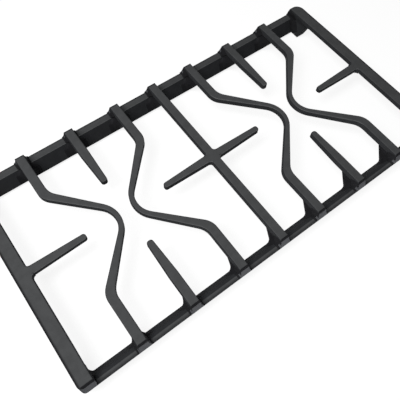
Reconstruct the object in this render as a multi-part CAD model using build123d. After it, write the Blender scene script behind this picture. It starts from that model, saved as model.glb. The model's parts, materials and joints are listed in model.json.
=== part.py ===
"""Cast pan support for a two-burner hob: one iron casting.

Two rails run along X, front and back. Seven bars cross them from back to front, level with two
broad end bars that turn down into the corner feet. Millimetres, +Z up, feet on Z = 0, centre on the
Z axis.
"""
import math
import os

from build123d import *

# Overall size
LENGTH = 480.0
WIDTH = 251.4
HEIGHT = 35.0

# Bars: all their tops are level, at HEIGHT
BAR_WIDTH = 10.6
BAR_THICKNESS = 7.0
END_BAR_WIDTH = 15.3
END_BAR_THICKNESS = 5.5
EDGE_RADIUS = 1.6
BURNER_X = 113.3

# Bows: straight from each rail, then bent towards a burner's centre and thinner on the way
BOW_OFFSET = 60.15
BOW_HEEL_DEPTH = 63.2
BOW_CROOK_DEPTH = 60.7
BOW_BEND_RADIUS = 20.0
APEX_GAP = 7.9
APEX_WIDTH = 6.1
APEX_RADIUS = 26.7

# Tapered fingers, with round tips
SHORT_TIP_Y = 41.6
SHORT_TIP_WIDTH = 7.2
END_TIP_X = 161.2
END_TIP_WIDTH = 6.9
CROSS_TIP_X = 65.3
CROSS_TIP_WIDTH = 6.5
ROOT_WIDTH = 10.4
TAPER_EASE = 60.0

# Rails: crest, bevel and sloped inner face, and an outer face drafted both ways from the crest
CREST_DEPTH = 12.0
CREST_WIDTH = 4.75
BEVEL_WIDTH = 3.7
BEVEL_DEPTH = 2.1
BEVEL_RADIUS = 1.5
RAIL_BASE_WIDTH = 16.3
RAIL_CLEARANCE = 4.0
DRAFT_ABOVE = 4.0
DRAFT_BELOW = 3.8

# Webs under the bar ends, and the feet that the end bars turn down into: both lean in and arch over
WEB_WIDTH = 6.6
WEB_DEPTH = 13.7
FOOT_DEPTH = 25.7
ARCH_SLANT = 21.0
ARCH_RADIUS = 12.0
BACK_CORNER_RADIUS = 10.0
FRONT_CORNER_RADIUS = 4.5

# Worked out from the sizes above
OVERLAP = 3.0
TOL = 0.01
half_width = WIDTH / 2
crest_z = HEIGHT - CREST_DEPTH
under_z = HEIGHT - BAR_THICKNESS
end_under_z = HEIGHT - END_BAR_THICKNESS
heel_y = half_width - BOW_HEEL_DEPTH
crook_y = half_width - BOW_CROOK_DEPTH
end_inner_x = LENGTH / 2 - END_BAR_WIDTH
rail_inner_y = half_width - RAIL_BASE_WIDTH
slant = math.tan(math.radians(ARCH_SLANT))
web_spring_y = half_width - WEB_DEPTH - slant * (under_z - RAIL_CLEARANCE)
foot_spring_y = half_width - FOOT_DEPTH - slant * end_under_z
bar_join_y = web_spring_y - ARCH_RADIUS - OVERLAP
end_join_y = foot_spring_y - ARCH_RADIUS - OVERLAP


def outer_y(z):
    """Distance of the outer face from the centre plane at height z."""
    if z >= crest_z:
        return half_width - DRAFT_ABOVE * (z - crest_z) / CREST_DEPTH
    return half_width - DRAFT_BELOW * (crest_z - z) / crest_z


def lies(edge, test):
    """True where the whole edge passes the test on its points."""
    return all(test(edge.position_at(t)) for t in (0, 0.25, 0.5, 0.75, 1))


def corners(face, *points):
    """The corners of a flat face at the given points."""
    return [face.vertices().sort_by_distance(Vector(*p))[0] for p in points]


def round_top(solid, *cut_ys):
    """Round the edges of a level top, except where the bar goes on across the given Y."""

    def is_rim(edge):
        cut = any(lies(edge, lambda p: abs(p.Y - y) < TOL) for y in cut_ys)
        return lies(edge, lambda p: p.Z > HEIGHT - TOL) and not cut

    return fillet(solid.edges().filter_by(is_rim), EDGE_RADIUS)


def back_rail():
    """Back rail between the end bars, which it runs into."""
    crest_outer = (outer_y(crest_z), crest_z)
    crest_inner = (crest_outer[0] - CREST_WIDTH, crest_z)
    bevel_foot = (crest_inner[0] - BEVEL_WIDTH, crest_z - BEVEL_DEPTH)
    section = make_face(
        Polyline(
            crest_outer,
            crest_inner,
            bevel_foot,
            (rail_inner_y, RAIL_CLEARANCE),
            (outer_y(RAIL_CLEARANCE), RAIL_CLEARANCE),
            close=True,
        )
    )
    section = fillet(corners(section, crest_inner, bevel_foot), BEVEL_RADIUS)
    section = fillet(corners(section, crest_outer), EDGE_RADIUS)
    return extrude(Plane.YZ * section, end_inner_x + OVERLAP, both=True)


def end_block(width, join_y, under, step_y, base_z):
    """Outer end of a bar, from join_y outwards along +Y, centred on X = 0.

    Its end face follows the draft. Beyond step_y it reaches down to base_z.
    """
    outline = Polyline(
        (join_y, under),
        (join_y, HEIGHT),
        (outer_y(HEIGHT), HEIGHT),
        (half_width, crest_z),
        (outer_y(base_z), base_z),
        (step_y, base_z),
        (step_y, under),
        close=True,
    )
    return extrude(Plane.YZ * make_face(outline), width / 2, both=True)


def arched_web(width, under, spring_y, foot_y, reach_y, base_z):
    """Web under a bar's end: its inner edge leans in from foot_y and arches over into the bar."""
    spring = (spring_y, under)
    start_y = spring_y - ARCH_RADIUS
    outline = Polyline(
        (start_y, under), spring, (foot_y, base_z), (reach_y, base_z), (reach_y, HEIGHT - EDGE_RADIUS - TOL),
        (start_y, HEIGHT - EDGE_RADIUS - TOL), close=True
    )
    outline = fillet(corners(make_face(outline), spring), ARCH_RADIUS)
    return extrude(Plane.YZ * outline, width / 2, both=True)


def bar_end():
    """End of a bar on the back rail, with its web, at X = 0."""
    bevel_y = half_width - CREST_WIDTH - BEVEL_WIDTH
    end = end_block(BAR_WIDTH, bar_join_y, under_z, bevel_y, RAIL_CLEARANCE)
    foot_y = half_width - WEB_DEPTH
    web = arched_web(WEB_WIDTH, under_z, web_spring_y, foot_y, bevel_y + OVERLAP, RAIL_CLEARANCE)
    return round_top(end, bar_join_y) + web


def corner_foot(corner_radius):
    """Right back corner, where the end bar turns down into its foot."""
    foot_y = half_width - FOOT_DEPTH
    foot = end_block(END_BAR_WIDTH, end_join_y, end_under_z, foot_y, 0)
    web = arched_web(END_BAR_WIDTH, end_under_z, foot_spring_y, foot_y, foot_y + OVERLAP, 0)
    foot = Pos(LENGTH / 2 - END_BAR_WIDTH / 2, 0, 0) * (foot + web).clean()

    def is_corner(edge):
        return lies(edge, lambda p: abs(p.X - LENGTH / 2) < TOL and abs(p.Y - outer_y(p.Z)) < TOL)

    return round_top(fillet(foot.edges().filter_by(is_corner), corner_radius), end_join_y)


def bar(plan, thickness, *cut_ys):
    """Bar of the given plan, its top rounded except where it meets its ends."""
    return round_top(extrude(Pos(0, 0, HEIGHT - thickness) * plan, thickness), *cut_ys)


def tangent_peak(bend_x, bend_y, crest_x, radius):
    """Where the line from a bend that touches the apex circle crosses the burner's centre line."""
    to_centre = Vector(crest_x - radius - bend_x, -bend_y)
    angle = math.atan2(to_centre.Y, to_centre.X) + math.asin(radius / to_centre.length)
    return bend_x - bend_y / math.tan(angle)


def bow():
    """Bow that bends towards +X, with its burner's centre at the origin."""
    heel_x = -BOW_OFFSET - BAR_WIDTH / 2
    crook_x = -BOW_OFFSET + BAR_WIDTH / 2
    inner_radius = APEX_RADIUS - APEX_WIDTH / 2
    outer_radius = APEX_RADIUS + APEX_WIDTH / 2
    inner_peak = (tangent_peak(heel_x, heel_y, -APEX_GAP - APEX_WIDTH, inner_radius), 0)
    outer_peak = (tangent_peak(crook_x, crook_y, -APEX_GAP, outer_radius), 0)
    bends = [(heel_x, -heel_y), (heel_x, heel_y), (crook_x, crook_y), (crook_x, -crook_y)]
    plan = make_face(
        Polyline(
            (heel_x, -bar_join_y),
            bends[0],
            inner_peak,
            bends[1],
            (heel_x, bar_join_y),
            (crook_x, bar_join_y),
            bends[2],
            outer_peak,
            bends[3],
            (crook_x, -bar_join_y),
            close=True,
        )
    )
    plan = fillet(corners(plan, *bends), BOW_BEND_RADIUS)
    plan = fillet(corners(plan, inner_peak), inner_radius)
    plan = fillet(corners(plan, outer_peak), outer_radius)
    return bar(plan, BAR_THICKNESS, -bar_join_y, bar_join_y)


def finger(root_x, root_width, tip_x, tip_width, straight=0.0):
    """Plan of a finger along -X, straight for a while and then tapered to its rounded tip."""
    root = root_width / 2
    tip = tip_width / 2
    start_x = root_x - straight
    sides = [(root_x, -root), (start_x, -root), (tip_x, -tip), (tip_x, tip), (start_x, root), (root_x, root)]
    if not straight:
        sides = sides[1:5]
    plan = make_face(Polyline(*sides, close=True))
    if straight:
        plan = fillet(corners(plan, (start_x, -root), (start_x, root)), TAPER_EASE)
    return fillet(corners(plan, (tip_x, -tip), (tip_x, tip)), 0.85 * tip)


def short_finger():
    """Finger that goes on from a bar end of the back rail towards its burner."""
    plan = finger(bar_join_y, BAR_WIDTH, SHORT_TIP_Y, SHORT_TIP_WIDTH, OVERLAP)
    return bar(Rot(0, 0, 90) * plan, BAR_THICKNESS, bar_join_y)


def centre_bar():
    """Straight bar between the burners, with a finger to each side."""
    arm = finger(0, ROOT_WIDTH, -CROSS_TIP_X, CROSS_TIP_WIDTH)
    plan = Rectangle(BAR_WIDTH, 2 * bar_join_y) + arm + Rot(0, 0, 180) * arm
    return bar(plan, BAR_THICKNESS, -bar_join_y, bar_join_y)


def end_bar():
    """Right end bar between its feet, with its finger towards the burner."""
    plan = Pos(LENGTH / 2 - END_BAR_WIDTH / 2, 0) * Rectangle(END_BAR_WIDTH, 2 * end_join_y)
    plan += finger(end_inner_x + OVERLAP, ROOT_WIDTH, END_TIP_X, END_TIP_WIDTH)
    return bar(plan, END_BAR_THICKNESS, -end_join_y, end_join_y)


def pan_support():
    """The whole casting as one solid: the back and the right are drawn, and mirrored."""
    end = bar_end()
    back = [back_rail(), end]
    for burner_x in (-BURNER_X, BURNER_X):
        back += [Pos(burner_x + step, 0, 0) * end for step in (-BOW_OFFSET, 0, BOW_OFFSET)]
        back.append(Pos(burner_x, 0, 0) * short_finger())
    pieces = back + [mirror(piece, Plane.XZ) for piece in back]
    feet = [corner_foot(BACK_CORNER_RADIUS), mirror(corner_foot(FRONT_CORNER_RADIUS), Plane.XZ)]
    pieces += feet + [mirror(foot, Plane.YZ) for foot in feet]
    bent = bow()
    for burner_x in (-BURNER_X, BURNER_X):
        pieces += [Pos(burner_x, 0, 0) * piece for piece in (bent, mirror(bent, Plane.YZ))]
    side = end_bar()
    pieces += [centre_bar(), side, mirror(side, Plane.YZ)]
    return pieces[0].fuse(*pieces[1:]).clean()


if __name__ == "__main__":
    os.makedirs("parts", exist_ok=True)
    casting = pan_support()
    casting.label = "pan_support"
    export_step(casting, "parts/pan_support.step")
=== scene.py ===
"""Studio view of a cast pan support for a two-burner hob.

The casting stands on a pale floor under a soft lamp from the upper left, with a low card in front. Metres, +Z up,
feet on Z = 0.
"""

import json
import logging
import math
from dataclasses import dataclass, field

import bmesh
import bpy
import numpy as np
from mathutils import Euler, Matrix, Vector

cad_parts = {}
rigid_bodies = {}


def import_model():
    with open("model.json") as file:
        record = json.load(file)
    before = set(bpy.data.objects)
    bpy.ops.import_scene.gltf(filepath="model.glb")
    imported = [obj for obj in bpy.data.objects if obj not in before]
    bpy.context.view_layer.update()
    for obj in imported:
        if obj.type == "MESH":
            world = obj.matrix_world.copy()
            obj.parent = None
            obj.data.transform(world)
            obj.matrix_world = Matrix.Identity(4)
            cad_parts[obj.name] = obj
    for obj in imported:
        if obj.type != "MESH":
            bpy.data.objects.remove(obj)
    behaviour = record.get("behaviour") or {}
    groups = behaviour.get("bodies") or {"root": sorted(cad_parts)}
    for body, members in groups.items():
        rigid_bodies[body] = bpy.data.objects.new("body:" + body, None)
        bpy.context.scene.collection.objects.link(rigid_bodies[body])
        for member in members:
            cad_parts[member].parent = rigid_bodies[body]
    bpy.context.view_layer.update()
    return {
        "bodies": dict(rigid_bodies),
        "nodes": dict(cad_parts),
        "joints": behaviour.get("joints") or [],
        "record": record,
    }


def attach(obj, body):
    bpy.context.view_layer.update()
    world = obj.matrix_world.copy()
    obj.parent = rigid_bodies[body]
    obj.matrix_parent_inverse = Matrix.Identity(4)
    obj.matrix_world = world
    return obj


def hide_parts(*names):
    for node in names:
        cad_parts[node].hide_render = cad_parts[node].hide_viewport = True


MM = 0.001
TUBE_SHARP_DEG = 35.0
SMOOTH = {"interpolation_type": "SMOOTHSTEP"}
LOG = logging.getLogger("pan_support")


def linear(hex_colour: str) -> tuple[float, float, float, float]:
    """Turn an sRGB hex colour into linear RGBA.

    Args:
        hex_colour: Six hex digits, as "1a1b1c".

    Returns:
        Linear red, green, blue and an alpha of 1.
    """
    srgb = np.array([int(hex_colour[i : i + 2], 16) for i in (0, 2, 4)]) / 255
    rgb = np.where(srgb <= 0.04045, srgb / 12.92, ((srgb + 0.055) / 1.055) ** 2.4)
    return (*rgb.tolist(), 1.0)


def add_node(tree: bpy.types.NodeTree, kind: str, inputs: dict | None = None, **settings: object) -> bpy.types.Node:
    """Add a node, set it up, and link or fill its inputs.

    Args:
        tree: Node tree that gets the node.
        kind: Blender's name for the kind of node.
        inputs: By an input's name or number, the output socket that is linked to it or the value that it gets.
        settings: Attributes of the node.

    Returns:
        The new node.
    """
    node = tree.nodes.new(kind)
    for name, value in settings.items():
        setattr(node, name, value)
    for name, value in (inputs or {}).items():
        if isinstance(value, bpy.types.NodeSocket):
            tree.links.new(value, node.inputs[name])
        else:
            node.inputs[name].default_value = value
    return node


def between(limits: tuple[float, float], unit: float = 1.0) -> dict[str, float]:
    """Give the inputs of a range that starts and stops at two limits, measured in a unit."""
    return {"From Min": limits[0] * unit, "From Max": limits[1] * unit}


def new_material(name: str) -> tuple[bpy.types.Material, bpy.types.NodeTree]:
    """Make an empty node material.

    Args:
        name: Name of the material.

    Returns:
        The material and its node tree.
    """
    material = bpy.data.materials.new(name)
    material.use_nodes = True
    material.node_tree.nodes.clear()
    return material, material.node_tree


@dataclass(frozen=True)
class IronEnamel:
    """Vitreous enamel on cast iron, fired: matt, near black, with painted light and shade in its colour.

    A face's rise is the height of its normal: 0 on a side, 1 on a level face. A pair of numbers gives the limits
    between which one look eases into the next.
    """

    name: str = "matt_black_enamel_on_cast_iron"
    # Level faces take the lit colour; sides and slopes are darker, as painted shade.
    level_colour: str = "4a4b4c"
    slope_shade_colour: str = "303133"
    side_shade_colour: str = "3a3b3d"
    # A painted highlight on the bar-end facets, and painted shade on the rims and brows.
    facet_highlight_colour: str = "57585b"
    rim_shade_colour: str = "1e1e20"
    slope_rise: tuple[float, float] = (0.2, 0.3)
    level_rise: tuple[float, float] = (0.5, 0.68)
    # Faces turned towards this get the lit colour; faces turned away get painted shade.
    painted_light_from: tuple[float, float, float] = (0.0, -0.35, 0.94)
    painted_light_met: tuple[float, float] = (0.64, 0.84)
    facet_rise: float = 0.316
    facet_play: float = 0.07
    facet_highlight_from_mm: float = 121.4
    rail_rim_mm: tuple[float, float] = (121.6, 126.0)
    end_rim_mm: tuple[float, float] = (236.4, 239.2)
    brow_mm: tuple[float, float] = (154.6, 155.6)
    roughness: float = 0.7
    gloss: float = 0.015
    shoulder_from: tuple[float, float] = (0.45, 0.7)
    shoulder_to: tuple[float, float] = (0.76, 0.86)
    shoulder_roughness: float = 0.4
    shoulder_gloss: float = 0.45
    ior: float = 1.5
    edge_mm: float = 0.9
    edge_samples: int = 4
    # The photograph shows no grain, and at its distance this one is too fine to show.
    grain_mm: float = 0.7
    grain_detail: float = 2.0
    grain_height_mm: float = 0.02
    mottle_mm: float = 9.0
    mottle_detail: float = 3.0
    mottle_range: tuple[float, float] = (0.3, 0.7)
    mottle_shade: tuple[float, float] = (0.93, 1.07)

    def facet_highlight(
        self, tree: bpy.types.NodeTree, across: bpy.types.NodeSocket, rise: bpy.types.NodeSocket
    ) -> bpy.types.NodeSocket:
        """Find the facets at the bars' ends, which get a painted highlight: far enough out, and with the facet's
        slope.

        Args:
            tree: The material's nodes.
            across: Distance from the middle in y.
            rise: The face's rise.

        Returns:
            1 on the facets and 0 elsewhere.
        """
        outside = add_node(
            tree, "ShaderNodeMath", {0: across, 1: self.facet_highlight_from_mm * MM}, operation="GREATER_THAN"
        )
        facet = add_node(
            tree, "ShaderNodeMath", {0: rise, 1: self.facet_rise, 2: self.facet_play}, operation="COMPARE"
        )
        both = add_node(
            tree, "ShaderNodeMath", {0: outside.outputs["Value"], 1: facet.outputs["Value"]}, operation="MULTIPLY"
        )
        return both.outputs["Value"]

    def rim_shade(
        self,
        tree: bpy.types.NodeTree,
        spot: bpy.types.Node,
        across: bpy.types.NodeSocket,
        level: bpy.types.NodeSocket,
    ) -> bpy.types.NodeSocket:
        """Find the painted shade on level faces at the rails' and end bars' outer rims, and on the brows.

        A brow is the edge between a bar's top and its end facet, where y outwards plus z is greatest.

        Args:
            tree: The material's nodes.
            spot: Node that gives the place's x, y and z.
            across: Distance from the middle in y.
            level: Share of the full coat of level faces.

        Returns:
            Share of the painted shade, from 0 to 1.
        """
        along = add_node(tree, "ShaderNodeMath", {0: spot.outputs["X"]}, operation="ABSOLUTE")
        brow = add_node(tree, "ShaderNodeMath", {0: across, 1: spot.outputs["Z"]}, operation="ADD")
        rail_rim = add_node(
            tree, "ShaderNodeMapRange", between(self.rail_rim_mm, MM) | {"Value": across, "To Max": level}, **SMOOTH
        )
        rims = add_node(
            tree,
            "ShaderNodeMapRange",
            between(self.end_rim_mm, MM)
            | {"Value": along.outputs["Value"], "To Min": rail_rim.outputs["Result"], "To Max": level},
            **SMOOTH,
        )
        shaded_rims = add_node(
            tree,
            "ShaderNodeMapRange",
            between(self.brow_mm, MM) | {"Value": brow.outputs["Value"], "To Min": rims.outputs["Result"]},
            **SMOOTH,
        )
        return shaded_rims.outputs["Result"]

    def coat(
        self, tree: bpy.types.NodeTree, place: bpy.types.NodeSocket, rise: bpy.types.NodeSocket
    ) -> tuple[bpy.types.NodeSocket, bpy.types.NodeSocket]:
        """Work out the coat's colour, with its painted light and shade, from slope and place.

        Level faces turned up and a little to the front get the greyer, lit colour; sides, slopes and faces turned to
        the back are darker, as painted shade. The facets at the bars' ends get a painted highlight. Over the brows
        and along the outer rims painted shade makes the colour near black.

        Args:
            tree: The material's nodes.
            place: Object coordinates.
            rise: The face's rise.

        Returns:
            The colour, and the share that is painted lit and outside the painted rim shade, from 0 to 1.
        """
        normal = add_node(tree, "ShaderNodeNewGeometry").outputs["True Normal"]
        met = add_node(tree, "ShaderNodeVectorMath", {0: normal, 1: self.painted_light_from}, operation="DOT_PRODUCT")
        painted_lit = add_node(
            tree, "ShaderNodeMapRange", between(self.painted_light_met) | {"Value": met.outputs["Value"]}, **SMOOTH
        ).outputs["Result"]
        level = add_node(
            tree, "ShaderNodeMapRange", between(self.level_rise) | {"Value": rise, "To Max": painted_lit}, **SMOOTH
        ).outputs["Result"]
        sloped = add_node(tree, "ShaderNodeMapRange", between(self.slope_rise) | {"Value": rise}, **SMOOTH)
        spot = add_node(tree, "ShaderNodeSeparateXYZ", {"Vector": place})
        across = add_node(tree, "ShaderNodeMath", {0: spot.outputs["Y"]}, operation="ABSOLUTE").outputs["Value"]
        shaded_rims = self.rim_shade(tree, spot, across, level)
        colour = linear(self.side_shade_colour)
        # Painted light and shade: darker sides and slopes, lit level faces, lighter bar-end facets, near-black rims
        # and brows.
        for share, other in (
            (sloped.outputs["Result"], self.slope_shade_colour),
            (level, self.level_colour),
            (self.facet_highlight(tree, across, rise), self.facet_highlight_colour),
            (shaded_rims, self.rim_shade_colour),
        ):
            # The node's inputs 6 and 7 are its two colours, and its output 2 is the mixed one.
            mix = add_node(tree, "ShaderNodeMix", {"Factor": share, 6: colour, 7: linear(other)}, data_type="RGBA")
            colour = mix.outputs[2]
        lit_outside_rims = add_node(tree, "ShaderNodeMapRange", {"Value": shaded_rims, "To Min": painted_lit, "To Max": 0.0}, **SMOOTH)
        return colour, lit_outside_rims.outputs["Result"]

    def material(self) -> bpy.types.Material:
        """Make the enamel: near black and matt, with a fine orange-peel grain.

        The coat fires a little unevenly, which shows as a faint mottle. Its frosted skin has next to no gloss,
        apart from the rounded shoulders of the bars, where pans polish it.

        Returns:
            The material.
        """
        material, tree = new_material(self.name)
        place = add_node(tree, "ShaderNodeTexCoord").outputs["Object"]
        normal = add_node(tree, "ShaderNodeNewGeometry").outputs["True Normal"]
        rise = add_node(tree, "ShaderNodeSeparateXYZ", {"Vector": normal}).outputs["Z"]
        # The colour holds painted light and shade; the shoulder gloss is kept to painted-lit faces outside the rims.
        colour, lit_outside_rims = self.coat(tree, place, rise)
        cloud = add_node(
            tree,
            "ShaderNodeTexNoise",
            {"Vector": place, "Scale": 1 / (self.mottle_mm * MM), "Detail": self.mottle_detail},
        )
        darker, lighter = self.mottle_shade
        shade = add_node(
            tree,
            "ShaderNodeMapRange",
            between(self.mottle_range) | {"Value": cloud.outputs["Fac"], "To Min": darker, "To Max": lighter},
            **SMOOTH,
        )
        fired = add_node(tree, "ShaderNodeVectorMath", {0: colour, 1: shade.outputs["Result"]}, operation="MULTIPLY")
        grain = add_node(
            tree,
            "ShaderNodeTexNoise",
            {"Vector": place, "Scale": 1 / (self.grain_mm * MM), "Detail": self.grain_detail},
        )
        edge = add_node(tree, "ShaderNodeBevel", {"Radius": self.edge_mm * MM}, samples=self.edge_samples)
        bump = add_node(
            tree,
            "ShaderNodeBump",
            {
                "Height": grain.outputs["Fac"],
                "Normal": edge.outputs["Normal"],
                "Strength": 1.0,
                "Distance": self.grain_height_mm * MM,
            },
        )
        tipped = add_node(
            tree,
            "ShaderNodeMapRange",
            between(self.shoulder_to) | {"Value": rise, "To Min": lit_outside_rims, "To Max": 0.0},
            **SMOOTH,
        )
        shoulder = add_node(
            tree,
            "ShaderNodeMapRange",
            between(self.shoulder_from) | {"Value": rise, "To Max": tipped.outputs["Result"]},
            **SMOOTH,
        ).outputs["Result"]
        shine = add_node(
            tree,
            "ShaderNodeMapRange",
            {"Value": shoulder, "To Min": self.gloss, "To Max": self.shoulder_gloss},
            **SMOOTH,
        )
        frost = add_node(
            tree,
            "ShaderNodeMapRange",
            {"Value": shoulder, "To Min": self.roughness, "To Max": self.shoulder_roughness},
            **SMOOTH,
        )
        shader = add_node(
            tree,
            "ShaderNodeBsdfPrincipled",
            {
                "Base Color": fired.outputs["Vector"],
                "Normal": bump.outputs["Normal"],
                "Specular IOR Level": shine.outputs["Result"],
                "Roughness": frost.outputs["Result"],
                "IOR": self.ior,
            },
        )
        add_node(tree, "ShaderNodeOutputMaterial", {"Surface": shader.outputs["BSDF"]})
        return material


@dataclass(frozen=True)
class StudioPaper:
    """White studio paper, for the floor and the far surroundings: flat, with no sheen."""

    colour: str = "808080"
    bounce: str = "303030"
    glow: float = 0.86
    white: tuple[float, float, float, float] = (1.0, 1.0, 1.0, 1.0)

    def seen(self, tree: bpy.types.NodeTree) -> bpy.types.NodeSocket:
        """Give 1 for what the eye sees directly, mirrored or through glass, and 0 for scattered light.

        Args:
            tree: Node tree that gets the nodes.

        Returns:
            Output socket with the value.
        """
        path = add_node(tree, "ShaderNodeLightPath")
        first = add_node(
            tree,
            "ShaderNodeMath",
            {0: path.outputs["Is Camera Ray"], 1: path.outputs["Is Glossy Ray"]},
            operation="MAXIMUM",
        )
        both = add_node(
            tree,
            "ShaderNodeMath",
            {0: first.outputs["Value"], 1: path.outputs["Is Transmission Ray"]},
            operation="MAXIMUM",
        )
        return both.outputs["Value"]

    def floor(self) -> bpy.types.Material:
        """Make the floor's paper: white with a faint shadow to the eye, and dim in the light that it throws back.

        Returns:
            The material.
        """
        material, tree = new_material("white_studio_paper")
        paper = add_node(tree, "ShaderNodeBsdfDiffuse", {"Color": linear(self.colour)})
        glow = add_node(tree, "ShaderNodeEmission", {"Strength": self.glow})
        lit = add_node(tree, "ShaderNodeAddShader", {0: paper.outputs["BSDF"], 1: glow.outputs["Emission"]})
        dim = add_node(tree, "ShaderNodeBsdfDiffuse", {"Color": linear(self.bounce)})
        mix = add_node(
            tree,
            "ShaderNodeMixShader",
            {"Fac": self.seen(tree), 1: dim.outputs["BSDF"], 2: lit.outputs["Shader"]},
        )
        add_node(tree, "ShaderNodeOutputMaterial", {"Surface": mix.outputs["Shader"]})
        return material

    def sky(self, light: float) -> bpy.types.World:
        """Make the far surroundings, white to the eye.

        Args:
            light: Strength of the scattered light that they give.

        Returns:
            The world.
        """
        world = bpy.data.worlds.new("white_surroundings")
        world.use_nodes = True
        tree = world.node_tree
        tree.nodes.clear()
        dim = add_node(tree, "ShaderNodeBackground", {"Color": self.white, "Strength": light})
        bright = add_node(tree, "ShaderNodeBackground", {"Color": self.white, "Strength": 1.0})
        mix = add_node(
            tree,
            "ShaderNodeMixShader",
            {"Fac": self.seen(tree), 1: dim.outputs["Background"], 2: bright.outputs["Background"]},
        )
        add_node(tree, "ShaderNodeOutputWorld", {"Surface": mix.outputs["Shader"]})
        return world


def tube_faces(rows: int, ring: int) -> tuple[np.ndarray, list[list[int]]]:
    """Number the faces of one closed tube: quads between its rings, and one face across each end.

    Args:
        rows: How many rings it has.
        ring: How many points a ring has.

    Returns:
        The quads as an array of corner numbers, and the two end faces.
    """
    row, col = np.meshgrid(np.arange(rows - 1), np.arange(ring), indexing="ij")
    after = (col + 1) % ring
    quads = np.stack([row * ring + col, row * ring + after, (row + 1) * ring + after, (row + 1) * ring + col], -1)
    first = np.arange(ring)[::-1]
    last = np.arange(ring) + (rows - 1) * ring
    return quads.reshape(-1, 4), [first.tolist(), last.tolist()]


def tubes_mesh(name: str, points_mm: np.ndarray, turned: np.ndarray) -> bpy.types.Object:
    """Make one object of many closed tubes of the same build.

    Args:
        name: Name of the object.
        points_mm: Points by tube, ring and place on the ring, in mm.
        turned: For each tube, whether it is a mirror image, so that its faces are wound the other way.

    Returns:
        The object, linked to the scene.
    """
    tubes, rows, ring, _ = points_mm.shape
    quads, ends = tube_faces(rows, ring)
    start = np.arange(tubes)[:, None, None] * rows * ring
    sides = quads[None] + start
    sides = np.where(turned[:, None, None], sides[..., ::-1], sides).reshape(-1, 4)
    caps = np.array(ends)[None] + start
    caps = np.where(turned[:, None, None], caps[..., ::-1], caps).reshape(-1, ring)
    mesh = bpy.data.meshes.new(name)
    mesh.from_pydata((points_mm * MM).reshape(-1, 3).tolist(), [], sides.tolist() + caps.tolist())
    mesh.shade_smooth()
    mesh.set_sharp_from_angle(angle=math.radians(TUBE_SHARP_DEG))
    piece = bpy.data.objects.new(name, mesh)
    bpy.context.scene.collection.objects.link(piece)
    return piece


@dataclass(frozen=True)
class RailSection:
    """Upper side of a rail's section, in mm: y grows outwards from the middle of the casting."""

    outer_y: float = 125.7
    crest_z: float = 23.0
    crest_width: float = 4.75
    bevel_width: float = 3.7
    bevel_depth: float = 2.1
    base_width: float = 16.3
    clearance: float = 4.0
    facet_lean: float = 4 / 12

    def corners(self) -> np.ndarray:
        """List the corners from the outer edge over crest and bevel to the foot of the inner face.

        Returns:
            A row of y and z for each corner.
        """
        crest_y = self.outer_y - self.crest_width
        bevel_y = crest_y - self.bevel_width
        return np.array(
            [
                (self.outer_y, self.crest_z),
                (crest_y, self.crest_z),
                (bevel_y, self.crest_z - self.bevel_depth),
                (self.outer_y - self.base_width, self.clearance),
            ]
        )


@dataclass(frozen=True)
class FootSide:
    """Inner side of a corner foot, in mm: flush with the end bar at its underside, drawn in below it."""

    bar_x: float = 224.7
    bar_under_z: float = 29.5
    draw_in: float = 3.2
    height: float = 8.0

    def side(self, z: np.ndarray) -> np.ndarray:
        """Give the side's distance from the middle: the draw-in eases as 3 t t - 2 t t t over its height.

        Args:
            z: Heights.

        Returns:
            Distances in x.
        """
        t = np.clip((self.bar_under_z - z) / self.height, 0, 1)
        return self.bar_x + self.draw_in * t * t * (3 - 2 * t)


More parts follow.
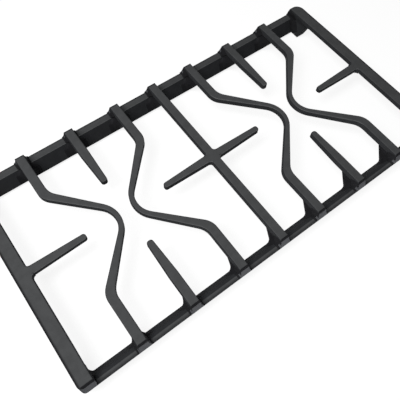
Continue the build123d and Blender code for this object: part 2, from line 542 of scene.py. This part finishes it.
@dataclass
class CrownFillets:
    """Hollow fillets where the bars and feet come down on the rails, in mm.

    A fillet reaches out from the side of a bar or foot along the rail, and rises on that side. What ends in _at is
    a place along the rail's section, measured from its outer edge. Leans are in radians.
    """

    rail: RailSection = field(default_factory=RailSection)
    foot: FootSide = field(default_factory=FootSide)
    bar_xs: tuple[float, ...] = (-173.45, -113.3, -53.15, 0.0, 53.15, 113.3, 173.45)
    bar_half: float = 5.3
    web_half: float = 3.3
    web_at: tuple[float, float] = (8.6, 9.4)
    crest_reach: float = 3.4
    crest_rise: float = 11.0
    flare_at: float = 9.0
    flare_reach: float = 11.0
    flare_reach_at: float = 16.0
    flare_rise: float = 21.0
    flare_rise_at: float = 13.0
    flare_fall: float = 1.4
    foot_reach: float = 5.0
    foot_reach_at: float = 12.0
    foot_rises: tuple[float, float] = (8.8, 8.4)
    foot_rises_at: tuple[float, float] = (11.5, 14.5)
    section_end_at: float = 27.6
    crest_lean: float = 0.06
    bevel_leans: tuple[float, float] = (0.52, 0.84)
    face_turn: tuple[float, float] = (0.5, 3.5)
    sink: float = 0.3
    web_sink: float = 3.4
    skin: float = 0.02
    rows: int = 40
    arc: int = 9

    def hollow(self, reach: np.ndarray, rise: np.ndarray, length: np.ndarray) -> np.ndarray:
        """Carry a hollow quarter ellipse along the rail's section.

        At each place on the section the ellipse leaves the rail's face at its reach from the bar's side and
        ends on the bar's side at its rise: out = reach (1 - sin t), up = rise (1 - cos t), for t from 0 to a
        quarter turn. Up leans with the bar's end facet at the outer edge and turns to the inner face's normal.
        Three more points close the ring inside the bar and the rail.

        Args:
            reach: Width of the fillet at each place along the section.
            rise: Height of the fillet there.
            length: Distance along the section from its outer edge.

        Returns:
            Points by ring and place on the ring: x out from the bar's side, y outwards and z.
        """
        corners = self.rail.corners()
        run = np.concatenate([[0.0], np.cumsum(np.hypot(*np.diff(corners, axis=0).T))])
        y = np.interp(length, run, corners[:, 0])[:, None]
        z = np.interp(length, run, corners[:, 1])[:, None]
        face = np.diff(corners[2:], axis=0)[0]
        facet_lean = math.atan(self.rail.facet_lean)
        face_lean = math.atan2(-face[1], -face[0])
        lean = np.interp(
            length,
            [0.0, run[1], (run[1] + run[2]) / 2, run[2] + self.face_turn[0], run[2] + self.face_turn[1]],
            [facet_lean, facet_lean + self.crest_lean, *self.bevel_leans, face_lean],
        )[:, None]
        turn = np.linspace(0, math.pi / 2, self.arc)
        zero = np.zeros((len(length), 1))
        out = reach[:, None] * (1 - np.sin(turn))
        up = rise[:, None] * (1 - np.cos(turn))
        inner = np.interp(length, self.web_at, [self.sink, self.web_sink])[:, None]
        out = np.concatenate([out, zero - inner, zero - inner, zero + reach[:, None]], 1)
        up = np.concatenate([up, zero + rise[:, None], zero - self.sink, zero - self.sink], 1)
        y = np.minimum(y - up * np.sin(lean), self.rail.outer_y - self.skin)
        return np.stack([out, y, z + up * np.cos(lean)], -1)

    def bars(self) -> tuple[np.ndarray, np.ndarray]:
        """Place the fillets on both sides of each bar, at both rails.

        Under the bar they leave its web and flare: reach and rise grow in straight lines. Further down the rise falls
        in a straight line to the foot of the inner face, so that the rail's lower edge stays straight.

        Returns:
            Points by tube, ring and place, and which tubes are mirror images.
        """
        length = np.linspace(0.0, self.section_end_at, self.rows)
        reach = np.interp(length, [self.flare_at, self.flare_reach_at], [self.crest_reach, self.flare_reach])
        rise = np.interp(length, [self.flare_at, self.flare_rise_at], [self.crest_rise, self.flare_rise])
        rise = np.minimum(rise, self.sink + self.flare_fall * (self.section_end_at - length))
        one = self.hollow(reach, rise, length)
        one[..., 0] += np.interp(length, self.web_at, [self.bar_half, self.web_half])[:, None]
        x, way, rail = (v.ravel() for v in np.meshgrid(self.bar_xs, (1, -1), (1, -1), indexing="ij"))
        scale = np.stack([way, rail, np.ones_like(way)], -1)[:, None, None, :]
        move = np.stack([x, 0 * x, 0 * x], -1)[:, None, None, :]
        return one[None] * scale + move, way * rail < 0

    def feet(self) -> tuple[np.ndarray, np.ndarray]:
        """Place the fillets on the inner sides of the four corner feet, which draw in below the end bars.

        Returns:
            Points by tube, ring and place, and which tubes are mirror images.
        """
        length = np.linspace(0.0, self.section_end_at, self.rows)
        reach = np.interp(length, [self.flare_at, self.foot_reach_at], [self.crest_reach, self.foot_reach])
        rise = np.interp(
            length, [self.rail.crest_width, *self.foot_rises_at], [self.crest_rise, *self.foot_rises]
        )
        one = self.hollow(reach, rise, length)
        one[..., 0] -= self.foot.side(one[..., 2])
        way, rail = (v.ravel() for v in np.meshgrid((1, -1), (1, -1), indexing="ij"))
        scale = np.stack([way, rail, np.ones_like(way)], -1)[:, None, None, :]
        return one[None] * scale, way * rail < 0

    def build(self) -> bpy.types.Object:
        """Make all the fillets as one piece.

        Returns:
            The piece.
        """
        bars, bars_turned = self.bars()
        feet, feet_turned = self.feet()
        return tubes_mesh("crown_fillets", np.concatenate([bars, feet]), np.concatenate([bars_turned, feet_turned]))


@dataclass
class RootFillets:
    """Small upright fillets in the corners where fingers leave a bar, in mm."""

    bar_half: float = 5.3
    finger_half: float = 5.2
    end_x: float = 224.7
    radius: float = 3.2
    under_z: float = 28.05
    top_z: float = 34.98
    edge_radius: float = 1.6
    edge_steps: int = 7
    sink: float = 0.04
    buried: float = 0.6
    arc: int = 9

    def corner(self) -> np.ndarray:
        """Work out one fillet, with the corner of bar and finger at x = y = 0.

        An upright hollow quarter circle about (radius, radius) rises straight and then widens by the edge's
        rounding, as the tops of bar and finger do: widening = edge radius (1 - cos u), for u up to a quarter turn.
        One more point closes the ring inside bar and finger.

        Returns:
            Points by ring and place on the ring.
        """
        turn = np.linspace(0, math.pi / 2, self.edge_steps)
        straight = self.top_z - self.edge_radius
        z = np.concatenate([[self.under_z], straight + self.edge_radius * np.sin(turn)])
        wider = np.concatenate([[0.0], self.edge_radius * (1 - np.cos(turn))])
        around = np.linspace(0, math.pi / 2, self.arc)
        hollow = (self.radius + self.sink + wider)[:, None]
        x = self.radius - hollow * np.sin(around)
        y = self.radius - hollow * np.cos(around)
        back = np.full((len(z), 1), -self.edge_radius - self.buried)
        x = np.concatenate([x, back], 1)
        y = np.concatenate([y, back], 1)
        return np.stack([x, y, np.broadcast_to(z[:, None], x.shape)], -1)

    def build(self) -> bpy.types.Object:
        """Make the fillets at the middle cross and at both end fingers.

        Returns:
            The piece.
        """
        one = self.corner()
        starts = np.array([self.bar_half, -self.bar_half, -self.end_x, self.end_x])
        ways = np.array([1, -1, 1, -1])
        start, up = (v.ravel() for v in np.meshgrid(starts, (1, -1), indexing="ij"))
        way = np.repeat(ways, 2)
        scale = np.stack([way, up, np.ones_like(way)], -1)[:, None, None, :]
        move = np.stack([start, up * self.finger_half, 0 * start], -1)[:, None, None, :]
        return tubes_mesh("root_fillets", one[None] * scale + move, way * up < 0)


@dataclass
class PanSupport:
    """The casting, with its fillets and finishes, in mm.

    The coat in the hollow fillets is darker, as painted shade in the creases, and has no polish.
    """

    enamel: IronEnamel = IronEnamel()
    # Painted shade: the hollow fillets are coloured darker, as the creases fall in shade.
    hollow_shade_enamel: IronEnamel = IronEnamel(
        name="matt_black_enamel_with_painted_hollow_shade",
        level_colour="29292b",
        slope_shade_colour="232325",
        side_shade_colour="29292b",
        shoulder_gloss=0.015,
    )
    foot: FootSide = field(default_factory=FootSide)
    crowns: CrownFillets = field(default_factory=CrownFillets)
    roots: RootFillets = field(default_factory=RootFillets)
    foot_from_y: float = 70.0
    foot_play: float = 0.05
    merge: float = 0.01
    sharp_deg: float = 24.0

    def casting(self, node: bpy.types.Object) -> bpy.types.Object:
        """Copy the CAD body, join its triangles, draw the feet in below the end bars and shade it smooth.

        Args:
            node: The CAD body.

        Returns:
            The copy, which replaces it.
        """
        mesh = node.data.copy()
        work = bmesh.new()
        work.from_mesh(mesh)
        bmesh.ops.remove_doubles(work, verts=work.verts, dist=self.merge * MM)
        work.to_mesh(mesh)
        work.free()
        flat = np.empty(len(mesh.vertices) * 3)
        mesh.vertices.foreach_get("co", flat)
        points = flat.reshape(-1, 3) / MM
        x, y, z = points.T
        on_foot = (np.abs(np.abs(x) - self.foot.bar_x) < self.foot_play) & (np.abs(y) > self.foot_from_y)
        points[:, 0] = np.where(on_foot, np.sign(x) * self.foot.side(z), x)
        mesh.vertices.foreach_set("co", (points * MM).ravel())
        # The copied normals belong to the loose triangles.
        mesh.attributes.remove(mesh.attributes["custom_normal"])
        mesh.update()
        mesh.shade_smooth()
        mesh.set_sharp_from_angle(angle=math.radians(self.sharp_deg))
        piece = bpy.data.objects.new("casting", mesh)
        bpy.context.scene.collection.objects.link(piece)
        even = piece.modifiers.new("even_faces", "WEIGHTED_NORMAL")
        even.keep_sharp = True
        return piece

    def build(self, frame: dict) -> list[bpy.types.Object]:
        """Make the casting and its fillets, and dress them.


        Returns:
            The pieces made.
        """
        casting = self.casting(frame["nodes"]["pan_support"])
        pieces = [casting, self.crowns.build(), self.roots.build()]
        coat, hollow_shade_coat = self.enamel.material(), self.hollow_shade_enamel.material()
        for piece, finish in zip(pieces, (coat, hollow_shade_coat, coat)):
            piece.data.materials.clear()
            piece.data.materials.append(finish)
            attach(piece, "root")
        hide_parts("pan_support")
        return pieces


@dataclass(frozen=True)
class SoftBox:
    """A soft rectangular lamp: where it hangs, what it faces, its sides and its power."""

    name: str
    place: tuple[float, float, float]
    aim: tuple[float, float, float]
    sides: tuple[float, float]
    watts: float

    def build(self) -> bpy.types.Object:
        """Hang the lamp.

        Returns:
            The lamp.
        """
        light = bpy.data.lights.new(self.name, "AREA")
        light.shape = "RECTANGLE"
        light.size, light.size_y = self.sides
        light.energy = self.watts
        lamp = bpy.data.objects.new(self.name, light)
        lamp.location = self.place
        lamp.rotation_euler = (Vector(self.aim) - Vector(self.place)).to_track_quat("-Z", "Y").to_euler()
        lamp.visible_camera = False
        bpy.context.scene.collection.objects.link(lamp)
        return lamp


@dataclass
class Studio:
    """Floor, surroundings and lamps."""

    paper: StudioPaper = field(default_factory=StudioPaper)
    floor_size: float = 12.0
    sky_light: float = 0.15
    lamps: tuple[SoftBox, ...] = (
        SoftBox("overhead_softbox", (-0.5, 0.0, 0.9), (0.0, 0.0, 0.03), (0.4, 0.6), 9.0),
        SoftBox("front_card", (-0.03, -0.30, 0.035), (-0.03, -0.12, 0.03), (0.54, 0.05), 0.44),
    )

    def build(self) -> list[bpy.types.Object]:
        """Make the floor, the surroundings and the lamps.

        Returns:
            The floor and the lamps.
        """
        half = self.floor_size / 2
        mesh = bpy.data.meshes.new("floor")
        mesh.from_pydata([(-half, -half, 0), (half, -half, 0), (half, half, 0), (-half, half, 0)], [], [(0, 1, 2, 3)])
        mesh.materials.append(self.paper.floor())
        floor = bpy.data.objects.new("floor", mesh)
        bpy.context.scene.collection.objects.link(floor)
        bpy.context.scene.world = self.paper.sky(self.sky_light)
        return [floor] + [lamp.build() for lamp in self.lamps]


@dataclass
class PhotoCamera:
    """Camera at the photograph's viewing angle; its image is square."""

    lens_mm: float = 39.913
    sensor_mm: float = 36.0
    place_mm: tuple[float, float, float] = (-177.08, -190.82, 456.03)
    turn_deg: tuple[float, float, float] = (25.7605, -1.8518, -36.7497)
    clip_near: float = 0.01
    clip_far: float = 50.0

    def build(self) -> bpy.types.Object:
        """Make the camera and use it for the scene.

        Returns:
            The camera.
        """
        data = bpy.data.cameras.new("camera")
        data.lens = self.lens_mm
        data.sensor_width = self.sensor_mm
        data.sensor_fit = "HORIZONTAL"
        data.clip_start = self.clip_near
        data.clip_end = self.clip_far
        camera = bpy.data.objects.new("camera", data)
        camera.location = [MM * v for v in self.place_mm]
        camera.rotation_euler = Euler([math.radians(v) for v in self.turn_deg], "XYZ")
        bpy.context.scene.collection.objects.link(camera)
        bpy.context.scene.camera = camera
        return camera


def main() -> None:
    """Build the scene in order and report each piece."""
    logging.basicConfig(level=logging.INFO, format="%(message)s")
    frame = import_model()
    bpy.context.scene.view_settings.view_transform = "Standard"
    for piece in PanSupport().build(frame):
        LOG.info("casting: %s", piece.name)
    for piece in Studio().build():
        LOG.info("stage: %s", piece.name)
    LOG.info("camera: %s", PhotoCamera().build().name)
    bpy.context.view_layer.update()


if __name__ == "__main__":
    main()
